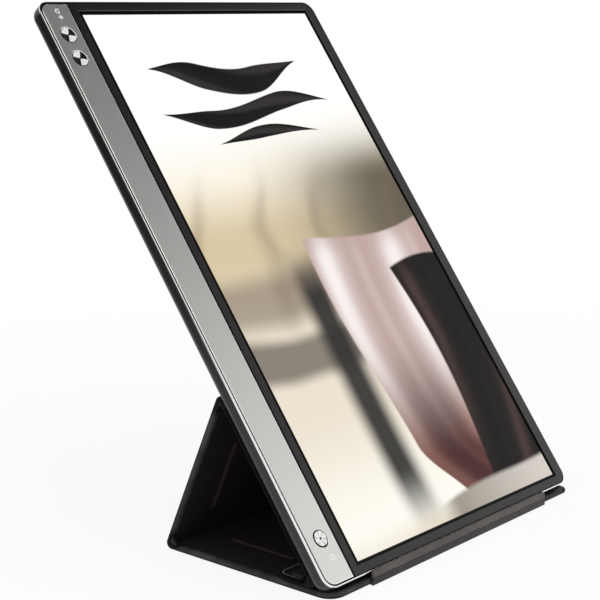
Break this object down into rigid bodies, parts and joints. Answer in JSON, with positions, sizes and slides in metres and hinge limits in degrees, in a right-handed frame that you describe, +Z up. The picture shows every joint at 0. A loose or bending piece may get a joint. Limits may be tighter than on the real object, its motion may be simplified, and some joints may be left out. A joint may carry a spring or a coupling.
{
  "type": "portable monitor with cover",
  "caption": "Flat portable monitor on its short edge with a button strip, leaning on a folding leatherette cover with a front stop flap.",
  "frame": {"origin": "middle of the cover's base panel, on the surface that it rests on", "axes": "+Z up, the screen faces -Y and leans back towards +Y, +X to the viewer's right"},
  "size_m": [0.2106, 0.198, 0.2686],
  "materials": {
    "housing_plastic": "fine satin moulded plastic",
    "frame_plastic": "plain moulded plastic",
    "trim_metal": "bright cut edge",
    "bezel_plastic": "satin",
    "strip_metal": "satin spun grey",
    "screen_glass": "smooth glass with a lit picture",
    "light_guide_plastic": "clear polished",
    "led_strip": "plain",
    "tray_metal": "plain rolled sheet",
    "keeper_steel": "plain rolled sheet",
    "circuit_board": "green solder mask",
    "chip_plastic": "plain",
    "flat_cable": "amber film",
    "socket_steel": "drawn shell",
    "switch_plastic": "plain",
    "screw_steel": "plain",
    "button_metal": "turned, bright",
    "cover_leather": "smooth coated leatherette",
    "cover_lining": "smooth microfibre",
    "cover_board": "grey fibre board",
    "stop_leather": "fine grained leatherette",
    "magnet_plate": "plated"
  },
  "bodies": {
    "base": {"base_skin": "cover_leather", "base_board": "cover_board", "base_lining": "cover_lining", "base_keeper": "keeper_steel", "rear_fold": "cover_leather", "stop_fold": "stop_leather"},
    "rear_panel": {"rear_skin": "cover_leather", "rear_board": "cover_board", "rear_lining": "cover_lining", "top_fold": "cover_leather"},
    "support_panel": {"support_skin": "cover_leather", "support_board": "cover_board", "support_lining": "cover_lining", "support_magnets": "magnet_plate", "foot_fold": "cover_leather"},
    "foot_flap": {"foot_skin": "cover_leather", "foot_board": "cover_board", "foot_pad": "cover_lining", "foot_magnets": "magnet_plate"},
    "stop_flap": {"stop_skin": "stop_leather", "stop_core": "cover_board"},
    "monitor": {"rear_housing": "housing_plastic", "mid_frame": "frame_plastic", "edge_trim": "trim_metal", "front_bezel": "bezel_plastic", "control_strip": "strip_metal", "lcd_cell": "screen_glass", "light_guide": "light_guide_plastic", "led_bar": "led_strip", "backlight_tray": "tray_metal", "keeper_plate": "keeper_steel", "main_board": "circuit_board", "main_chips": "chip_plastic", "power_board": "circuit_board", "board_flex": "flat_cable", "driver_board": "circuit_board", "panel_flex": "flat_cable", "usb_shell": "socket_steel", "usb_tongue": "chip_plastic", "press_switches": "switch_plastic", "board_screws": "screw_steel"},
    "menu_key": {"menu_button": "button_metal"},
    "select_key": {"select_button": "button_metal"},
    "power_key": {"power_button": "button_metal"}
  },
  "joints": [
    {"name": "rear_hinge", "type": "hinge", "parent": "base", "child": "rear_panel", "pos_m": [0, 0.05133, 0.00315], "axis": [-1, 0, 0], "range_deg": [0, 100], "deforming": ["rear_fold"]},
    {"name": "top_hinge", "type": "hinge", "parent": "rear_panel", "child": "support_panel", "pos_m": [0, 0.01577, 0.08211], "axis": [1, 0, 0], "range_deg": [0, 56], "deforming": ["top_fold"]},
    {"name": "foot_hinge", "type": "hinge", "parent": "support_panel", "child": "foot_flap", "pos_m": [0, -0.0395, 0.00605], "axis": [-1, 0, 0], "range_deg": [0, 130], "deforming": ["foot_fold"]},
    {"name": "stop_hinge", "type": "hinge", "parent": "base", "child": "stop_flap", "pos_m": [0, -0.05473, 0.00395], "axis": [1, 0, 0], "range_deg": [0, 90], "deforming": ["stop_fold"]},
    {"name": "lift_off", "type": "slide", "parent": "base", "child": "monitor", "axis": [0, 0, 1], "range_m": [0, 0.15]},
    {"name": "menu_press", "type": "slide", "parent": "monitor", "child": "menu_key", "axis": [0, 0.809, -0.5878], "range_m": [0, 0.0004], "stiffness_N_per_m": 2500, "springref_m": -0.0002},
    {"name": "select_press", "type": "slide", "parent": "monitor", "child": "select_key", "axis": [0, 0.809, -0.5878], "range_m": [0, 0.0004], "stiffness_N_per_m": 2500, "springref_m": -0.0002},
    {"name": "power_press", "type": "slide", "parent": "monitor", "child": "power_key", "axis": [0, 0.809, -0.5878], "range_m": [0, 0.0004], "stiffness_N_per_m": 2500, "springref_m": -0.0002}
  ],
  "couplings": [
    {"joint": "top_hinge", "follows": "rear_hinge", "ratio": 0.56},
    {"joint": "foot_hinge", "follows": "rear_hinge", "ratio": 1.3}
  ]
}
